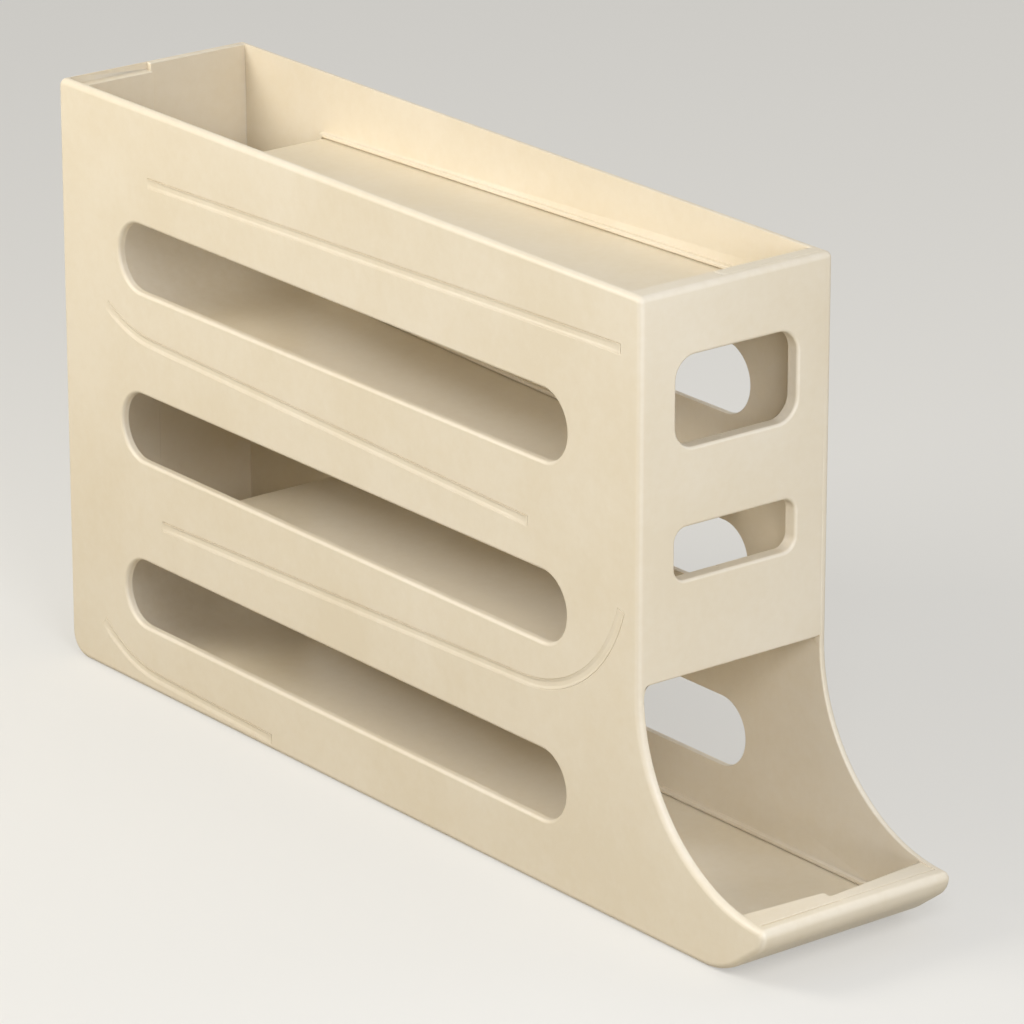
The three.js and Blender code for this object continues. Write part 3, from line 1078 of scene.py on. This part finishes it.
def paper_floor():
    """Matt background paper: pale to the eye, but it throws less light back up than it would."""
    finish = bpy.context.scene.egg_finish
    material = bpy.data.materials.new("matt_background_paper")
    material.use_nodes = True
    tree = material.node_tree
    tree.nodes.clear()
    seen = seen_directly(tree)
    tone = add_node(tree, "ShaderNodeMix", {"data_type": "RGBA"}, {
        "Factor": seen, 6: (*finish.bounce, 1.0), 7: (*finish.floor, 1.0),
    })
    lit = add_node(tree, "ShaderNodeBsdfPrincipled", inputs={
        "Base Color": tone.outputs[2], "Roughness": 0.9,
    })
    # A little over half of what is seen is one even tone, so that the lamps' pools stay faint
    even = add_node(tree, "ShaderNodeEmission", inputs={
        "Color": (*finish.floor, 1.0), "Strength": 0.88,
    })
    share = add_node(tree, "ShaderNodeMath", {"operation": "MULTIPLY"}, {0: seen, 1: 0.55})
    paper = add_node(tree, "ShaderNodeMixShader", inputs={"Fac": share.outputs[0]})
    tree.links.new(lit.outputs["BSDF"], paper.inputs[1])
    tree.links.new(even.outputs["Emission"], paper.inputs[2])
    add_node(tree, "ShaderNodeOutputMaterial", inputs={"Surface": paper.outputs["Shader"]})
    return material


class EGGHOLDER_OT_main_shell(bpy.types.Operator):
    """Build the near panel with the end walls, the base and the tray"""

    bl_idname = "egg_holder.main_shell"
    bl_label = "Main shell"

    def execute(self, context):
        case = sizes()
        inner = NEAR_FACE + case.panel_wall
        lap = -case.lap_offset
        end = FAR_FACE - case.panel_wall - case.seam
        body = prism(NEAR_FACE, end, *side_outline())
        shell = combine(body, [
            ("DIFFERENCE", near_room(inner, lap)),
            ("DIFFERENCE", prism(lap - HAIR, FAR_FACE + OVERRUN, *far_space())),
            ("UNION", channels(inner - BITE, inner + case.rail_depth)),
            ("DIFFERENCE", windows()),
            ("DIFFERENCE", slots(NEAR_FACE - OVERRUN, inner + OVERRUN)),
            ("DIFFERENCE", reliefs(NEAR_FACE, 1)),
            ("DIFFERENCE", near_groove()),
        ])
        finish_case("main_shell", shell, NEAR_FACE)
        return {"FINISHED"}


class EGGHOLDER_OT_side_cover(bpy.types.Operator):
    """Build the far panel with the flanges that slide inside the end walls"""

    bl_idname = "egg_holder.side_cover"
    bl_label = "Side cover"

    def execute(self, context):
        case = sizes()
        inner = FAR_FACE - case.panel_wall
        lap = -case.lap_offset + case.seam
        front = prism(lap, inner + BITE, *front_flange())
        panel = prism(inner, FAR_FACE, *side_outline())
        toe = prism(lap, inner + BITE, *toe_block())
        lean(toe, case.far_lip)
        cover = combine(panel, [
            ("UNION", front),
            ("UNION", prism(lap, inner + BITE, *back_flange())),
            ("UNION", toe),
            ("UNION", channels(inner - case.rail_depth, inner + BITE)),
            ("DIFFERENCE", windows()),
            ("DIFFERENCE", slots(inner - OVERRUN, FAR_FACE + OVERRUN)),
            ("DIFFERENCE", reliefs(FAR_FACE, -1)),
        ])
        finish_case("side_cover", cover, FAR_FACE)
        return {"FINISHED"}


class EGGHOLDER_OT_ramps(bpy.types.Operator):
    """Build the four ramps"""

    bl_idname = "egg_holder.ramps"
    bl_label = "Ramps"

    def execute(self, context):
        case = sizes()
        ramps = context.scene.egg_ramps
        near = NEAR_FACE + case.panel_wall + case.fit_gap
        far = FAR_FACE - case.panel_wall - case.fit_gap
        half = ramps.wall / 2
        for node, (points, sweep) in tracks().items():
            plate = ordered(prism(near, far, *strip(points, sweep, half, half)))
            weight = plate.edges.layers.float.new("bevel_weight_edge")
            for edge in plate.edges:
                if edge.calc_face_angle(0.0) > SHARP:
                    edge[weight] = 1.0
            finish_piece(
                node + "_plate", plate, ramp_plastic(), node,
                ramps.edge, RAMP_EDGE_STEPS,
            )
        return {"FINISHED"}


# Where the middle of the holder lies, and each lamp's place, aim, size and colour
MIDDLE = (0, 0, 0.1)
LAMPS = {
    "left": ((-0.55, 0.36, 0.56), MIDDLE, (0.4, 0.4), "#FFFBF2"),
    "front": ((-0.30, -0.65, 0.45), MIDDLE, (0.3, 0.3), "#F3F7FF"),
    "low": ((-0.22, -0.75, 0.06), (0, -0.15, 0.05), (0.3, 0.1), "#F3F7FF"),
    "right": ((1.3, -0.3, 0.9), MIDDLE, (1.0, 1.0), "#FFFFFF"),
    "top": ((0, 0, 1.7), MIDDLE, (1.2, 1.2), "#FFFFFF"),
}


def area_lamp(name, place, target, size, watts, tint):
    """A soft rectangular lamp that faces a point."""
    lamp = bpy.data.lights.new(name, "AREA")
    lamp.shape = "RECTANGLE"
    lamp.size, lamp.size_y = size
    lamp.energy = watts
    lamp.color = linear(tint)
    holder = bpy.data.objects.new(name, lamp)
    holder.location = place
    holder.rotation_euler = (Vector(target) - Vector(place)).to_track_quat("-Z", "Y").to_euler()
    holder.visible_camera = False
    bpy.context.scene.collection.objects.link(holder)


# The floor lies this far below the base, so that the two don't share a plane
FLOOR_DROP = 0.0002

# The camera, as solved from the photo: its place, its heading and its tilt, and its lens and
# sensor in millimetres
CAMERA_PLACE = (-1.2178, -1.5598, 0.8108)
CAMERA_HEADING = radians(-38.23)
CAMERA_TILT = radians(19.78)
CAMERA_LENS = 219.05
CAMERA_SENSOR = 36.0


class EGGHOLDER_OT_stage(bpy.types.Operator):
    """Build the pale floor, the soft lamps and the camera"""

    bl_idname = "egg_holder.stage"
    bl_label = "Stage"

    def execute(self, context):
        scene = context.scene
        settings = scene.egg_stage
        half = settings.floor_size / 2
        bm = bmesh.new()
        bmesh.ops.create_grid(bm, x_segments=1, y_segments=1, size=half)
        bmesh.ops.translate(bm, verts=bm.verts, vec=(0, 0, -FLOOR_DROP))
        floor = placed_object("floor", bm)
        floor.data.materials.append(paper_floor())

        for name, (place, target, size, tint) in LAMPS.items():
            area_lamp(name + "_lamp", place, target, size, getattr(settings, name), tint)

        world = bpy.data.worlds.new("soft_white_room")
        world.use_nodes = True
        tree = world.node_tree
        tree.nodes.clear()
        # The room looks brighter than the light that it gives
        strength = add_node(tree, "ShaderNodeMix", inputs={
            "Factor": seen_directly(tree), 2: settings.sky, 3: 0.85,
        })
        sky = add_node(tree, "ShaderNodeBackground", inputs={
            "Color": (*linear(ROOM), 1.0), "Strength": strength.outputs[0],
        })
        add_node(tree, "ShaderNodeOutputWorld", inputs={"Surface": sky.outputs["Background"]})
        scene.world = world

        lens = bpy.data.cameras.new("photo_camera")
        lens.lens = CAMERA_LENS
        lens.sensor_width = CAMERA_SENSOR
        lens.clip_start = 0.05
        lens.clip_end = 50.0
        camera = bpy.data.objects.new("photo_camera", lens)
        level = cos(CAMERA_TILT)
        facing = Vector((
            -sin(CAMERA_HEADING) * level, cos(CAMERA_HEADING) * level, -sin(CAMERA_TILT),
        ))
        camera.location = CAMERA_PLACE
        camera.rotation_euler = facing.to_track_quat("-Z", "Y").to_euler()
        scene.collection.objects.link(camera)
        scene.camera = camera
        scene.view_settings.view_transform = "Standard"
        return {"FINISHED"}


class EGGHOLDER_PT_panel(bpy.types.Panel):
    """The egg holder's operators and settings"""

    bl_idname = "EGGHOLDER_PT_panel"
    bl_label = "Rolling Egg Holder"
    bl_space_type = "VIEW_3D"
    bl_region_type = "UI"
    bl_category = "Egg Holder"

    def draw(self, context):
        column = self.layout.column()
        for operator in OPERATORS:
            column.operator(operator.bl_idname)
        for group_name in GROUPS:
            group = getattr(context.scene, group_name)
            for name in group.bl_rna.properties.keys():
                if name not in ("rna_type", "name"):
                    column.prop(group, name)


GROUPS = {
    "egg_case": CaseSizes,
    "egg_ramps": RampSizes,
    "egg_finish": Finish,
    "egg_stage": StageSettings,
}
OPERATORS = (
    EGGHOLDER_OT_main_shell,
    EGGHOLDER_OT_side_cover,
    EGGHOLDER_OT_ramps,
    EGGHOLDER_OT_stage,
)
CLASSES = (*GROUPS.values(), *OPERATORS, EGGHOLDER_PT_panel)


def register():
    for kind in CLASSES:
        bpy.utils.register_class(kind)
    for name, kind in GROUPS.items():
        setattr(bpy.types.Scene, name, PointerProperty(type=kind))


def unregister():
    for name in GROUPS:
        delattr(bpy.types.Scene, name)
    for kind in reversed(CLASSES):
        bpy.utils.unregister_class(kind)


def main():
    register()
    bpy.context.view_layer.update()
    bpy.ops.egg_holder.main_shell()
    bpy.ops.egg_holder.side_cover()
    bpy.ops.egg_holder.ramps()
    bpy.ops.egg_holder.stage()


if __name__ == "__main__":
    main()
